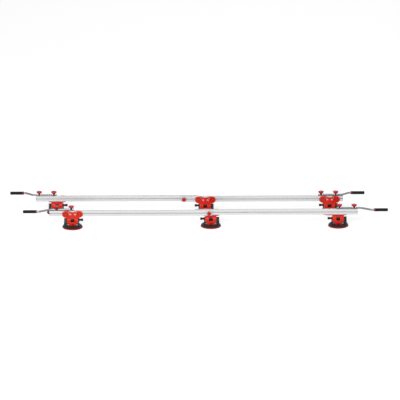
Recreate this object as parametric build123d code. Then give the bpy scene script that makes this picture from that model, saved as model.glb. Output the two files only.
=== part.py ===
"""Carrying frame for large tiles: two extendable bars with suction cups and end handles.

Each bar is two T-slot profiles lapped side by side and clamped by two knobs. Cups hang
under the profiles on cast carriages, and cranked handles are clamped on top of the ends.
Millimetres, +X along the bars, -Y towards the front, +Z up, origin on the floor under
the middle of the frame.
"""

import math
import os

from build123d import *

# Bars: profiles, their lap and how the two bars stand
PROFILE_DEPTH = 22.0
PROFILE_HEIGHT = 55.0
PROFILE_CORNER = 1.5
PROFILE_WALL = 2.5
PROFILE_LENGTH = 1600.0
LAP_LENGTH = 168.0
LAP_GAP = 0.4
RAIL_BOTTOM = 118.0
BAR_SPACING = 445.0
BAR_STAGGER = 135.0

# T-slots in both faces and the top of a profile
SLOT_MOUTH = 8.4
SLOT_LIP = 2.5
SLOT_HEAD_WIDTH = 14.6
SLOT_HEAD_DEPTH = 4.2

# Clearances
SLIDE_GAP = 0.3
BOLT_GAP = 0.3
RUNNING_GAP = 0.1
CUTTER_ROOM = 10.0

# Clamp knobs on round-headed T-bolts
STUD_RADIUS = 3.8
T_HEAD_RADIUS = 6.8
T_HEAD_HEIGHT = 3.0
HUB_RADIUS = 9.5
HANDLE_HUB_HEIGHT = 20.0
LAP_HUB_HEIGHT = 12.0
HUB_FLARE = 0.52
CAP_BASE = 0.62
CAP_HEIGHT = 19.0
CAP_RIM = 6.0
CAP_DOME = 3.5
HANDLE_CAP_RADIUS = 28.0
LAP_CAP_RADIUS = 21.0
CAP_SCALLOPS = 6
SCALLOP_RADIUS = 9.0
SCALLOP_DEPTH = 3.5
LAP_KNOB_INSET = 30.0

# Handles: cranked bars with sleeve grips
HANDLE_RADIUS = 10.0
HANDLE_SEAT = 7.0
HANDLE_SEAT_LENGTH = 30.0
HANDLE_FLAT = 0.5
KNOB_PITCH = 144.0
HANDLE_TAIL = 28.0
CRANK_START = {"front": 70.0, "rear": 62.0}
CRANK_LENGTH = {"front": 100.0, "rear": 68.0}
CRANK_OFFSET = 62.0
CRANK_BEND = 40.0
GRIP_START = {"front": 195.0, "rear": 151.0}
GRIP_LENGTH = 136.0
GRIP_RADIUS = 14.5
GRIP_BEAD = 1.5
GRIP_BEAD_LENGTH = 8.0
GRIP_END_WALL = 4.0
GRIP_ROUND = 5.0
OUTER_HANDLE_INSET = 35.0
INNER_HANDLE_INSET = 72.0

# Suction pad and the cup frame that stands on it
PAD_RADIUS = 101.0
PAD_LIP = 9.0
PAD_HEIGHT = 9.0
PAD_EDGE_RISE = 4.0
PAD_TAPER = 4.0
CAVITY_DEPTH = 3.0
CAVITY_SLOPE = 8.0
DISC_RADIUS = 97.0
DISC_RIM = 6.0
CROWN_OUTER = 82.0
CROWN_INNER = 67.0
CROWN_HEIGHT = 25.0
WELL_RADIUS = 58.0
WELL_FLOOR = 19.0
CUP_AXIS = 77.0
CUP_BAR_RADIUS = 18.0
LEG_TOP_RADIUS = 17.0
LEG_FOOT_HALF = 30.0
PUMP_LEG = 10.0
VALVE_LEG = 18.0

# Vacuum pump plunger
PLUNGER_ROD_RADIUS = 10.0
PLUNGER_ROD_INSIDE = 56.0
PUMP_STROKE = 16.0
PUMP_END_ROOM = 4.0
PLUNGER_OVERTRAVEL = 2.0
PLUNGER_KNOB_RADIUS = 12.5
PLUNGER_KNOB_LENGTH = 20.0
PLUNGER_ROUND = 3.0

# Vacuum release lever
LEVER_AXIS_HEIGHT = 40.0
LEVER_KNUCKLE_RADIUS = 4.2
LEVER_PIN_RADIUS = 2.0
LEVER_HALF_WIDTH = 12.0
LEVER_TOP = 95.0
LEVER_ROOT = 7.5
LEVER_TIP = 7.0
LEVER_ROUND = 8.0
LEVER_GAP = 0.6
EAR_THICKNESS = 4.5
EAR_RADIUS = 5.4

# Cast carriage: wing plate on the profile's outer face, shelf, neck and saddle
WING_THICKNESS = 9.0
LOBE_SPREAD = 68.0
LOBE_RADIUS = 34.0
LOBE_DROP = 0.5
WING_VALLEY = 13.0
VALLEY_HALF = 38.0
WING_FOOT_RISE = 20.0
WING_SLOPE_ANGLE = 72.0
WING_ROUND = 2.0
RING_OUTER = 21.0
RING_INNER = 13.0
RING_DEPTH = 4.5
RING_HUB_RADIUS = 6.5
RIB_INNER_END = 48.0
RIB_OUTER_END = 96.0
EYE_SPREAD = 23.0
EYE_HEIGHT = 19.5
EYE_WIDTH = 24.0
EYE_DEPTH = 14.0
BROW_SPREAD = 37.0
BROW_HEIGHT = 38.0
BROW_RADIUS = 6.0
WEB_RISE = 10.0
WEB_TOP_HALF = 15.0
WEB_FOOT_HALF = 46.0
WEB_FOOT_ANGLE = 22.0
SHELF_HALF = 86.0
SHELF_THICKNESS = 8.0
SHELF_EDGE = 4.0
SHELF_TAPER_END = 66.0
SHELF_ROUND = 9.0
SHELF_GAP = 0.5
NECK_HALF = 51.0
NECK_HALF_DEPTH = 17.0
NECK_ROUND = 6.0
SADDLE_HALF = 56.0
SADDLE_RADIUS = 28.0
SADDLE_ROUND = 7.0
CHEEK_DROP = 27.0
TONGUE_TOP_HALF = 37.0
TONGUE_TIP_HALF = 29.0
TONGUE_TIP = 22.0
TONGUE_ROUND = 8.0
WINDOW_WIDTH = 38.0
WINDOW_HEIGHT = 34.0
WINDOW_ROUND = 4.0
LEG_GAP = 0.5

# Saddle pinch bolt
PINCH_HEIGHT = 33.0
PINCH_RADIUS = 5.0
PINCH_FLATS = 16.0
PINCH_HEAD = 6.4
PINCH_NUT = 8.0

# Where the cups stand: end cups from their bar's end, middle cups from the right profile's inner end
FRONT_CUPS = {"left": 228.0, "middle": 156.0, "right": 191.0}
REAR_CUPS = {"left": 210.0, "middle": 241.0, "right": 132.0}

# Sizes that follow from the ones above
HALF_DEPTH = PROFILE_DEPTH / 2
RAIL_TOP = RAIL_BOTTOM + PROFILE_HEIGHT
SLOT_HEIGHT = RAIL_BOTTOM + PROFILE_HEIGHT / 2
SLOT_DEPTH = SLOT_LIP + SLOT_HEAD_DEPTH
HALF_OFFSET = HALF_DEPTH + LAP_GAP / 2
REACH_SHIFT = (GRIP_START["front"] - GRIP_START["rear"]) / 2
BAR_LENGTH = 2 * PROFILE_LENGTH - LAP_LENGTH
LOBE_HEIGHT = RAIL_TOP - LOBE_DROP - LOBE_RADIUS
SHELF_TOP = RAIL_BOTTOM - SHELF_GAP
SHELF_BOTTOM = SHELF_TOP - SHELF_THICKNESS
WING_FACE = -HALF_DEPTH - SLIDE_GAP - WING_THICKNESS
WING_MIDDLE = WING_FACE + WING_THICKNESS / 2
WING_BOTTOM = CUP_AXIS + WING_FOOT_RISE
CHEEK_BOTTOM = CUP_AXIS - CHEEK_DROP
LEG_INNER = SADDLE_HALF + LEG_GAP
PUMP_FACE = LEG_INNER + PUMP_LEG
VALVE_FACE = -(LEG_INNER + VALVE_LEG)
LEVER_AXIS_X = VALVE_FACE - LEVER_KNUCKLE_RADIUS - SLIDE_GAP

SIDES = {"front": -1, "rear": 1}
CUPS = {"front": FRONT_CUPS, "rear": REAR_CUPS}
ENDS = {"left": -1, "right": 1}


def solid_of(shape):
    """The one solid of a finished piece."""
    return shape.solids()[0]


def upright(sketch, start, thickness):
    """Extrude a sketch drawn on X and Z along +Y, from start."""
    return extrude(Plane.XZ.offset(-start) * sketch, amount=-thickness)


def lengthwise(sketch, start, length):
    """Extrude a sketch drawn on Y and Z along +X, from start."""
    return extrude(Plane.YZ.offset(start) * sketch, amount=length)


def outline(*points):
    """A closed face through points on a plane."""
    return make_face(Polyline(*points, close=True))


def t_shape(mouth, lip, head_width, head_depth):
    """A T with its mouth on the X axis, going down."""
    neck = Pos(0, -lip / 2) * Rectangle(mouth, lip)
    head = Pos(0, -lip - head_depth / 2) * Rectangle(head_width, head_depth)
    return neck + head


# Profiles


def profile_section():
    """Section of a bar profile on Y and Z, centred on its axis."""
    slot = t_shape(SLOT_MOUTH, SLOT_LIP, SLOT_HEAD_WIDTH, SLOT_HEAD_DEPTH)
    half_height = PROFILE_HEIGHT / 2
    section = RectangleRounded(PROFILE_DEPTH, PROFILE_HEIGHT, PROFILE_CORNER)
    section -= Pos(0, half_height) * slot
    section -= Pos(HALF_DEPTH, 0) * Rot(0, 0, -90) * slot
    section -= Pos(-HALF_DEPTH, 0) * Rot(0, 0, 90) * slot
    chamber_width = PROFILE_DEPTH - 2 * PROFILE_WALL
    chamber_start = SLOT_HEAD_WIDTH / 2 + PROFILE_WALL
    upper_end = half_height - SLOT_DEPTH - PROFILE_WALL
    lower_end = half_height - PROFILE_WALL
    for sign, end in ((1, upper_end), (-1, lower_end)):
        middle = sign * (chamber_start + end) / 2
        section -= Pos(0, middle) * Rectangle(chamber_width, end - chamber_start)
    return section


def profile(bolt_x):
    """A profile lying along X from 0, with a hole through its web for the lap knob's bolt."""
    bar = lengthwise(profile_section(), 0, PROFILE_LENGTH)
    hole = Pos(bolt_x, 0, 0) * Rot(90, 0, 0) * Cylinder(STUD_RADIUS + BOLT_GAP, PROFILE_DEPTH)
    return solid_of(bar - hole)


# Clamp knobs


def clamp_knob(cap_radius, hub_height, reach):
    """A scalloped knob on a flared hub and round-headed T-bolt, seated at Z 0, the bolt's head at -reach."""
    rim_base = hub_height + CAP_HEIGHT - CAP_RIM - CAP_DOME
    rim_top = rim_base + CAP_RIM
    half = outline(
        (0, -reach - T_HEAD_HEIGHT),
        (T_HEAD_RADIUS, -reach - T_HEAD_HEIGHT),
        (T_HEAD_RADIUS, -reach),
        (STUD_RADIUS, -reach),
        (STUD_RADIUS, 0),
        (HUB_RADIUS, 0),
        (HUB_FLARE * cap_radius, hub_height),
        (CAP_BASE * cap_radius, hub_height),
        (cap_radius, rim_base),
        (cap_radius, rim_top),
        (cap_radius - CAP_DOME, rim_top + CAP_DOME),
        (0, rim_top + CAP_DOME),
    )
    body = revolve(Plane.XZ * half, Axis.Z)
    scallop_middle = cap_radius + SCALLOP_RADIUS - SCALLOP_DEPTH
    scallop = Cylinder(SCALLOP_RADIUS, CAP_HEIGHT, align=(Align.CENTER, Align.CENTER, Align.MIN))
    for place in PolarLocations(scallop_middle, CAP_SCALLOPS):
        body -= Pos(0, 0, hub_height) * place * scallop
    return solid_of(body)


# Handles


def handle_axis():
    """Height of the handle bar's axis over the profile's top."""
    return HANDLE_RADIUS - HANDLE_FLAT


def handle_bar(row):
    """A left handle's cranked bar: outer knob at X 0, outwards -X, cranked to -Y, seated on Z 0."""
    crank_start = CRANK_START[row]
    crank_end = crank_start + CRANK_LENGTH[row]
    bar_end = GRIP_START[row] + GRIP_LENGTH - GRIP_END_WALL
    path = FilletPolyline(
        (KNOB_PITCH + HANDLE_TAIL, 0, handle_axis()),
        (-crank_start, 0, handle_axis()),
        (-crank_end, -CRANK_OFFSET, handle_axis()),
        (-bar_end, -CRANK_OFFSET, handle_axis()),
        radius=CRANK_BEND,
    )
    start = Plane(origin=path @ 0, z_dir=path % 0)
    bar = sweep(start * Circle(HANDLE_RADIUS), path=path)
    across = 2 * HANDLE_RADIUS + CUTTER_ROOM
    seat = Box(HANDLE_SEAT_LENGTH, across, across, align=(Align.CENTER, Align.CENTER, Align.MIN))
    for knob_x in (0, KNOB_PITCH):
        bar -= Pos(knob_x, 0, HANDLE_SEAT) * seat
        bar -= Pos(knob_x, 0, 0) * Cylinder(STUD_RADIUS + BOLT_GAP, 2 * across)
    flat_length = GRIP_START[row] + KNOB_PITCH + HANDLE_TAIL + CUTTER_ROOM
    flat_width = 2 * (CRANK_OFFSET + across)
    under = Box(flat_length, flat_width, HANDLE_RADIUS, align=(Align.MIN, Align.CENTER, Align.MAX))
    return solid_of(bar - Pos(-GRIP_START[row], 0, 0) * under)


def grip(row):
    """A left handle's rubber sleeve grip with a closed, rounded outer end."""
    inner = outline(
        (0, HANDLE_RADIUS),
        (0, GRIP_RADIUS + GRIP_BEAD),
        (GRIP_BEAD_LENGTH, GRIP_RADIUS + GRIP_BEAD),
        (GRIP_BEAD_LENGTH + GRIP_BEAD, GRIP_RADIUS),
        (GRIP_LENGTH - GRIP_ROUND, GRIP_RADIUS),
        (GRIP_LENGTH, GRIP_RADIUS - GRIP_ROUND),
        (GRIP_LENGTH, 0),
        (GRIP_LENGTH - GRIP_END_WALL, 0),
        (GRIP_LENGTH - GRIP_END_WALL, HANDLE_RADIUS),
    )
    sleeve = Rot(0, 0, 180) * revolve(inner, Axis.X)
    return solid_of(Pos(-GRIP_START[row], -CRANK_OFFSET, handle_axis()) * sleeve)


# Suction cups, with the pump towards +X


def suction_pad():
    """The rubber pad: a flat sealing lip round a shallow hollow."""
    half = outline(
        (0, CAVITY_DEPTH),
        (PAD_RADIUS - PAD_LIP - CAVITY_SLOPE, CAVITY_DEPTH),
        (PAD_RADIUS - PAD_LIP, 0),
        (PAD_RADIUS - PAD_TAPER / 2, 0),
        (PAD_RADIUS, PAD_EDGE_RISE),
        (PAD_RADIUS - PAD_TAPER, PAD_HEIGHT),
        (0, PAD_HEIGHT),
    )
    return solid_of(revolve(Plane.XZ * half, Axis.Z))


def cup_leg(start, thickness):
    """One leg of the cup frame, from its foot in the disc up round the bar's axis."""
    shank = outline(
        (-LEG_TOP_RADIUS, CUP_AXIS),
        (LEG_TOP_RADIUS, CUP_AXIS),
        (LEG_FOOT_HALF, PAD_HEIGHT + DISC_RIM),
        (-LEG_FOOT_HALF, PAD_HEIGHT + DISC_RIM),
    )
    return lengthwise(shank + Pos(0, CUP_AXIS) * Circle(LEG_TOP_RADIUS), start, thickness)


def lever_ears():
    """Two ears on the valve leg that hold the release lever's pin."""
    reach = VALVE_FACE - LEVER_AXIS_X
    arm = Pos(LEVER_AXIS_X + reach / 2, LEVER_AXIS_HEIGHT) * Rectangle(reach, 2 * EAR_RADIUS)
    eye = Pos(LEVER_AXIS_X, LEVER_AXIS_HEIGHT) * Circle(EAR_RADIUS)
    bore = Pos(LEVER_AXIS_X, LEVER_AXIS_HEIGHT) * Circle(LEVER_PIN_RADIUS + RUNNING_GAP)
    near = LEVER_HALF_WIDTH + SLIDE_GAP
    ear = arm + eye - bore
    return [upright(ear, near, EAR_THICKNESS), upright(ear, -near - EAR_THICKNESS, EAR_THICKNESS)]


def cup_frame():
    """The moulded cup frame: crowned disc with a well, two legs and the bar that holds the pump."""
    disc_half = outline(
        (0, PAD_HEIGHT),
        (DISC_RADIUS, PAD_HEIGHT),
        (DISC_RADIUS, PAD_HEIGHT + DISC_RIM),
        (CROWN_OUTER, CROWN_HEIGHT),
        (CROWN_INNER, CROWN_HEIGHT),
        (WELL_RADIUS, WELL_FLOOR),
        (0, WELL_FLOOR),
    )
    frame = revolve(Plane.XZ * disc_half, Axis.Z)
    frame += cup_leg(LEG_INNER, PUMP_LEG)
    frame += cup_leg(VALVE_FACE, VALVE_LEG)
    bar_section = Pos(0, CUP_AXIS) * Circle(CUP_BAR_RADIUS)
    frame += lengthwise(bar_section, -LEG_INNER, 2 * LEG_INNER)
    for ear in lever_ears():
        frame += ear
    bore_length = PLUNGER_ROD_INSIDE + PUMP_STROKE + PUMP_END_ROOM
    bore_section = Pos(0, CUP_AXIS) * Circle(PLUNGER_ROD_RADIUS + RUNNING_GAP)
    frame -= lengthwise(bore_section, PUMP_FACE - bore_length, bore_length)
    return solid_of(frame)


def plunger():
    """The pump plunger, shown fully out."""
    knob_start = PUMP_FACE + PUMP_STROKE + PLUNGER_OVERTRAVEL
    rod_start = PUMP_FACE - PLUNGER_ROD_INSIDE
    rod = lengthwise(Circle(PLUNGER_ROD_RADIUS), rod_start, knob_start - rod_start)
    knob = lengthwise(Circle(PLUNGER_KNOB_RADIUS), knob_start, PLUNGER_KNOB_LENGTH)
    knob = fillet(knob.edges().filter_by(GeomType.CIRCLE), PLUNGER_ROUND)
    return solid_of(Pos(0, 0, CUP_AXIS) * (rod + knob))


def release_lever():
    """The vacuum release lever with its hinge pin, lying against the valve leg."""
    rest_face = VALVE_FACE - LEVER_GAP
    paddle = outline(
        (LEVER_AXIS_X - LEVER_KNUCKLE_RADIUS, LEVER_AXIS_HEIGHT),
        (LEVER_AXIS_X, LEVER_AXIS_HEIGHT),
        (rest_face, LEVER_AXIS_HEIGHT + LEVER_KNUCKLE_RADIUS + LEVER_ROOT),
        (rest_face, LEVER_TOP),
        (rest_face - LEVER_TIP, LEVER_TOP),
        (rest_face - LEVER_ROOT, LEVER_AXIS_HEIGHT + LEVER_KNUCKLE_RADIUS + LEVER_ROOT),
    )
    axis_point = Pos(LEVER_AXIS_X, LEVER_AXIS_HEIGHT)
    blade = paddle + axis_point * Circle(LEVER_KNUCKLE_RADIUS)
    lever = upright(blade, -LEVER_HALF_WIDTH, 2 * LEVER_HALF_WIDTH)
    corners = lever.edges().filter_by(Axis.X).sort_by(Axis.Z)[-2:]
    lever = fillet(corners, LEVER_ROUND)
    pin_half = LEVER_HALF_WIDTH + SLIDE_GAP + EAR_THICKNESS
    lever += upright(axis_point * Circle(LEVER_PIN_RADIUS), -pin_half, 2 * pin_half)
    return solid_of(lever)


# Carriages, with the wing plate on -Y


def wing_plate():
    """The two-lobed plate on the profile's outer face, with ring recesses and see-through eyes."""
    top = LOBE_HEIGHT + LOBE_RADIUS
    slope = math.radians(WING_SLOPE_ANGLE)
    slope_x = LOBE_SPREAD + LOBE_RADIUS * math.cos(slope)
    slope_z = LOBE_HEIGHT - LOBE_RADIUS * math.sin(slope)
    edge = [
        ThreePointArc((-VALLEY_HALF, top), (0, top - WING_VALLEY), (VALLEY_HALF, top)),
        Polyline(
            (VALLEY_HALF, top),
            (LOBE_SPREAD, top),
            (LOBE_SPREAD, LOBE_HEIGHT),
            (slope_x, slope_z),
            (NECK_HALF, WING_BOTTOM),
            (-NECK_HALF, WING_BOTTOM),
            (-slope_x, slope_z),
            (-LOBE_SPREAD, LOBE_HEIGHT),
            (-LOBE_SPREAD, top),
            (-VALLEY_HALF, top),
        ),
    ]
    face = make_face(edge)
    for sign in (-1, 1):
        face += Pos(sign * LOBE_SPREAD, LOBE_HEIGHT) * Circle(LOBE_RADIUS)
    plate = upright(face, WING_FACE, WING_THICKNESS)
    plate = fillet(plate.faces().sort_by(Axis.Y)[0].edges(), WING_ROUND)
    ring = Circle(RING_OUTER) - Circle(RING_INNER) + Circle(RING_HUB_RADIUS)
    for sign in (-1, 1):
        plate -= upright(Pos(sign * LOBE_SPREAD, LOBE_HEIGHT) * ring, WING_FACE, RING_DEPTH)
        eye = Pos(sign * EYE_SPREAD, RAIL_BOTTOM + EYE_HEIGHT) * SlotOverall(EYE_WIDTH, EYE_DEPTH)
        brow = Pos(sign * BROW_SPREAD, RAIL_BOTTOM + BROW_HEIGHT) * Circle(BROW_RADIUS)
        plate -= upright(eye, WING_FACE, WING_THICKNESS)
        plate -= upright(brow, WING_FACE, WING_THICKNESS)
    return plate


def saddle_web():
    """The sloping web that runs from the saddle up the wing plate, between its eyes."""
    angle = math.radians(WEB_FOOT_ANGLE)
    foot_y = -SADDLE_RADIUS * math.cos(angle)
    foot_z = CUP_AXIS + SADDLE_RADIUS * math.sin(angle)
    web_top = RAIL_BOTTOM + WEB_RISE
    side = outline((WING_FACE, web_top), (WING_MIDDLE, web_top), (WING_MIDDLE, foot_z), (foot_y, foot_z))
    front = outline(
        (-WEB_TOP_HALF, web_top),
        (WEB_TOP_HALF, web_top),
        (WEB_FOOT_HALF, foot_z),
        (-WEB_FOOT_HALF, foot_z),
    )
    web = lengthwise(side, -WEB_FOOT_HALF, 2 * WEB_FOOT_HALF)
    return web & upright(front, -SADDLE_RADIUS, SADDLE_RADIUS)


def slot_ribs():
    """Two T-shaped ribs behind the lobes that run in the profile's outer slot."""
    gap = SLIDE_GAP
    rib = t_shape(
        SLOT_MOUTH - 2 * gap,
        SLOT_LIP + 2 * gap,
        SLOT_HEAD_WIDTH - 2 * gap,
        SLOT_HEAD_DEPTH - 2 * gap,
    )
    section = Pos(-HALF_DEPTH - gap, SLOT_HEIGHT) * Rot(0, 0, 90) * rib
    length = RIB_OUTER_END - RIB_INNER_END
    return [lengthwise(section, RIB_INNER_END, length), lengthwise(section, -RIB_OUTER_END, length)]


def carriage():
    """The cast carriage: wing plate, shelf under the profile, neck, and saddle round the cup's bar."""
    shelf_depth = PROFILE_DEPTH + SLIDE_GAP
    shelf_outline = RectangleRounded(2 * SHELF_HALF, 2 * shelf_depth, SHELF_ROUND)
    shelf = extrude(Pos(0, HALF_DEPTH - shelf_depth, SHELF_BOTTOM) * shelf_outline, amount=SHELF_THICKNESS)
    shelf = split(shelf, Plane(origin=(0, WING_MIDDLE, 0), z_dir=(0, 1, 0)))
    shelf_side = outline(
        (-SHELF_HALF, SHELF_TOP),
        (SHELF_HALF, SHELF_TOP),
        (SHELF_HALF, SHELF_TOP - SHELF_EDGE),
        (SHELF_TAPER_END, SHELF_BOTTOM),
        (-SHELF_TAPER_END, SHELF_BOTTOM),
        (-SHELF_HALF, SHELF_TOP - SHELF_EDGE),
    )
    shelf &= upright(shelf_side, WING_FACE, 2 * shelf_depth)
    neck_height = SHELF_BOTTOM - CUP_AXIS
    neck = Pos(0, 0, CUP_AXIS + neck_height / 2) * Box(2 * NECK_HALF, 2 * NECK_HALF_DEPTH, neck_height)
    neck = fillet(neck.edges().filter_by(Axis.Z), NECK_ROUND)
    arch = Pos(0, CUP_AXIS) * Circle(SADDLE_RADIUS)
    arch += Pos(0, CUP_AXIS - CHEEK_DROP / 2) * Rectangle(2 * SADDLE_RADIUS, CHEEK_DROP)
    saddle = lengthwise(arch, -SADDLE_HALF, 2 * SADDLE_HALF)
    saddle = fillet(saddle.faces().sort_by(Axis.X)[-1].edges(), SADDLE_ROUND)
    saddle = fillet(saddle.faces().sort_by(Axis.X)[0].edges(), SADDLE_ROUND)
    tongue = outline(
        (-TONGUE_TOP_HALF, CUP_AXIS),
        (TONGUE_TOP_HALF, CUP_AXIS),
        (TONGUE_TOP_HALF, CHEEK_BOTTOM),
        (TONGUE_TIP_HALF, TONGUE_TIP),
        (-TONGUE_TIP_HALF, TONGUE_TIP),
        (-TONGUE_TOP_HALF, CHEEK_BOTTOM),
    )
    tongue = fillet(tongue.vertices().sort_by(Axis.Y)[:2], TONGUE_ROUND)
    body = wing_plate() + shelf + neck + saddle + saddle_web()
    body += upright(tongue, -SADDLE_RADIUS, 2 * SADDLE_RADIUS)
    for rib in slot_ribs():
        body += rib
    throat_height = CUP_AXIS - TONGUE_TIP
    throat = Pos(0, CUP_AXIS) * Circle(CUP_BAR_RADIUS)
    throat += Pos(0, CUP_AXIS - throat_height / 2) * Rectangle(2 * CUP_BAR_RADIUS, throat_height)
    body -= lengthwise(throat, -LEG_INNER, 2 * LEG_INNER)
    window = Pos(0, CUP_AXIS) * RectangleRounded(WINDOW_WIDTH, WINDOW_HEIGHT, WINDOW_ROUND)
    body -= upright(window, -SADDLE_RADIUS, 2 * SADDLE_RADIUS)
    bolt_hole = Pos(0, PINCH_HEIGHT) * Circle(PINCH_RADIUS + RUNNING_GAP)
    body -= upright(bolt_hole, -SADDLE_RADIUS, 2 * SADDLE_RADIUS)
    return solid_of(body)


def pinch_bolt():
    """The hexagon bolt and nut that pinch the saddle's cheeks on the cup's bar."""
    at_bolt = Pos(0, PINCH_HEIGHT)
    hexagon = at_bolt * RegularPolygon(PINCH_FLATS / 2, 6, major_radius=False)
    bolt = upright(at_bolt * Circle(PINCH_RADIUS), -SADDLE_RADIUS, 2 * SADDLE_RADIUS + PINCH_NUT)
    bolt += upright(hexagon, -SADDLE_RADIUS - PINCH_HEAD, PINCH_HEAD)
    bolt += upright(hexagon, SADDLE_RADIUS, PINCH_NUT)
    return solid_of(bolt)


# Assembly


def bar_middle(side):
    """X of a bar's middle: the front bar stands further to +X, the origin under the frame's middle."""
    return -side * BAR_STAGGER / 2 - REACH_SHIFT


def half_place(side, end):
    """Y of a profile's axis: left profiles lie outside the lap, right ones inside it."""
    return side * (BAR_SPACING / 2 - end * HALF_OFFSET)


def cup_along(name, inset):
    """X of a cup from its bar's middle."""
    bar_half = BAR_LENGTH / 2
    if name == "left":
        return inset - bar_half
    if name == "right":
        return bar_half - inset
    return bar_half - PROFILE_LENGTH + inset


def turned(shape, pump, outer):
    """Mirror a piece made with its pump on +X and its wing on -Y to the sides given."""
    if pump < 0:
        shape = mirror(shape, about=Plane.YZ)
    if outer > 0:
        shape = mirror(shape, about=Plane.XZ)
    return shape


def bar_pieces(row, side):
    """The profiles, lap knobs, handles and handle knobs of one bar."""
    pieces = {}
    lap_reach = PROFILE_DEPTH + LAP_GAP + SLOT_LIP + RUNNING_GAP
    seat_reach = HANDLE_SEAT + SLOT_LIP + RUNNING_GAP
    for name, end in ENDS.items():
        label = f"{row}_{name}"
        half_y = half_place(side, end)
        outer = -side * end
        far_end = bar_middle(side) + end * BAR_LENGTH / 2
        start = min(far_end, far_end - end * PROFILE_LENGTH)
        knob_x = far_end - end * (PROFILE_LENGTH - LAP_KNOB_INSET)
        pieces[f"rail_{label}"] = Pos(start, half_y, SLOT_HEIGHT) * profile(knob_x - start)
        lap_knob = Rot(-outer * 90, 0, 0) * clamp_knob(LAP_CAP_RADIUS, LAP_HUB_HEIGHT, lap_reach)
        lap_seat = half_y + outer * HALF_DEPTH
        pieces[f"lap_knob_{label}"] = Pos(knob_x, lap_seat, SLOT_HEIGHT) * lap_knob
        inset = OUTER_HANDLE_INSET if end == side * -1 else INNER_HANDLE_INSET
        handle_place = Pos(far_end - end * inset, half_y, RAIL_TOP)
        pieces[f"handle_bar_{label}"] = handle_place * turned(handle_bar(row), -end, side)
        pieces[f"grip_{label}"] = handle_place * turned(grip(row), -end, side)
        knob = clamp_knob(HANDLE_CAP_RADIUS, HANDLE_HUB_HEIGHT, seat_reach)
        for spot, step in (("outer", 0), ("inner", KNOB_PITCH)):
            knob_place = handle_place * Pos(-end * step, 0, HANDLE_SEAT)
            pieces[f"handle_knob_{label}_{spot}"] = knob_place * knob
    return pieces


def cup_pieces(row, side):
    """The carriages and suction cups of one bar."""
    pieces = {}
    makers = {
        "carriage": carriage,
        "pinch_bolt": pinch_bolt,
        "cup_frame": cup_frame,
        "suction_pad": suction_pad,
        "pump_plunger": plunger,
        "release_lever": release_lever,
    }
    for name, inset in CUPS[row].items():
        end = -1 if name == "left" else 1
        outer = -side * end
        place = Pos(bar_middle(side) + cup_along(name, inset), half_place(side, end), 0)
        for piece, make in makers.items():
            pieces[f"{piece}_{row}_{name}"] = place * turned(make(), -end, outer)
    return pieces


def assemble():
    """Every piece of the frame by node name."""
    pieces = {}
    for row, side in SIDES.items():
        pieces.update(bar_pieces(row, side))
        pieces.update(cup_pieces(row, side))
    return pieces


os.makedirs("parts", exist_ok=True)
for node, piece in assemble().items():
    export_step(piece, f"parts/{node}.step")
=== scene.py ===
"""Looks of the tile carrying frame: finishes, knobs, grips, fasteners, studio and camera.

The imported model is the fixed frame. Sizes are in metres, +X runs along the bars, -Y is towards
the viewer and +Z is up. Every piece is modelled once at the origin and copied to its places.
"""

import logging
import math
from collections.abc import Callable, Iterator, Sequence
from contextlib import contextmanager
from dataclasses import dataclass
from enum import Enum

import bmesh
import bpy
from mathutils import Matrix, Vector


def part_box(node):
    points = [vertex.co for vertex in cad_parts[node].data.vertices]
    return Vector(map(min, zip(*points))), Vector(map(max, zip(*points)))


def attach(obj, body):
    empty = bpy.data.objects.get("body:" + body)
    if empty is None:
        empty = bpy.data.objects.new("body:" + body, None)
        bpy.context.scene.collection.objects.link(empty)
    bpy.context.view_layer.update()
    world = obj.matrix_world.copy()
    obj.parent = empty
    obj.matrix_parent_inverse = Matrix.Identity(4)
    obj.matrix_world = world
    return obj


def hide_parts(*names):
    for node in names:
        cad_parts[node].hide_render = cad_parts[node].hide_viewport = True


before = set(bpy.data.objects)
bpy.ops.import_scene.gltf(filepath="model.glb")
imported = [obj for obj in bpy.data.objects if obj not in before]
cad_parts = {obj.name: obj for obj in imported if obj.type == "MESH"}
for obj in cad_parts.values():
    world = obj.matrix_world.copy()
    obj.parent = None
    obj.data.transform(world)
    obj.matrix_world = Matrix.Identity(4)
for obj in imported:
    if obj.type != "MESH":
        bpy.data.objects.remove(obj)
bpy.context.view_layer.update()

LOG = logging.getLogger("carrying_frame")
MM = 0.001
MERGE_REACH = 0.00001  # points closer than this are merged
LEVEL_REACH = 0.000001  # a face this close to a height lies on it
FACING = 0.9  # least part of a normal along the direction that a face looks in
ROUND_SIDES = 48
HEXAGON_SIDES = 6
RECESS_SHADE_SHARE = 0.35  # painted shade: share of a finish's deep tone that is put in its recesses
DUST_TONE = (0.62, 0.60, 0.57)
WHITE = (1.0, 1.0, 1.0, 1.0)
MIX_COLOURS, MIX_RESULT = slice(6, 8), 2  # a Mix node's sockets for colours
Colour = tuple[float, float, float]
Station = tuple[float, float]
Stations = tuple[Station, ...]


class Place(Enum):
    """A named place on the frame, with a direction or a side."""

    @property
    def label(self) -> str:
        """The place's word in node and body names."""
        return self.value[0]


class Row(Place):
    """The two bars, with the side of the frame that each is on."""

    FRONT = ("front", -1)
    REAR = ("rear", 1)

    @property
    def side(self) -> int:
        """-1 towards the viewer, +1 away."""
        return self.value[1]


class End(Place):
    """The two ends of a bar, and the two sides of a carriage or a cup."""

    LEFT = ("left", -1)
    RIGHT = ("right", 1)

    @property
    def sign(self) -> int:
        """Direction of the end along X."""
        return self.value[1]


class CupPlace(Place):
    """Where a cup stands on its bar, with the half of the bar that carries it."""

    LEFT = ("left", -1)
    MIDDLE = ("middle", 1)
    RIGHT = ("right", 1)

    @property
    def half(self) -> int:
        """-1 on the bar's left half, +1 on its right half."""
        return self.value[1]


def bar_ends() -> Iterator[tuple[Row, End, str]]:
    """Go through the ends of both bars.

    Returns:
        Each row and end, with their label in node and body names.
    """
    for row in Row:
        for end in End:
            yield row, end, f"{row.label}_{end.label}"


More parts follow.
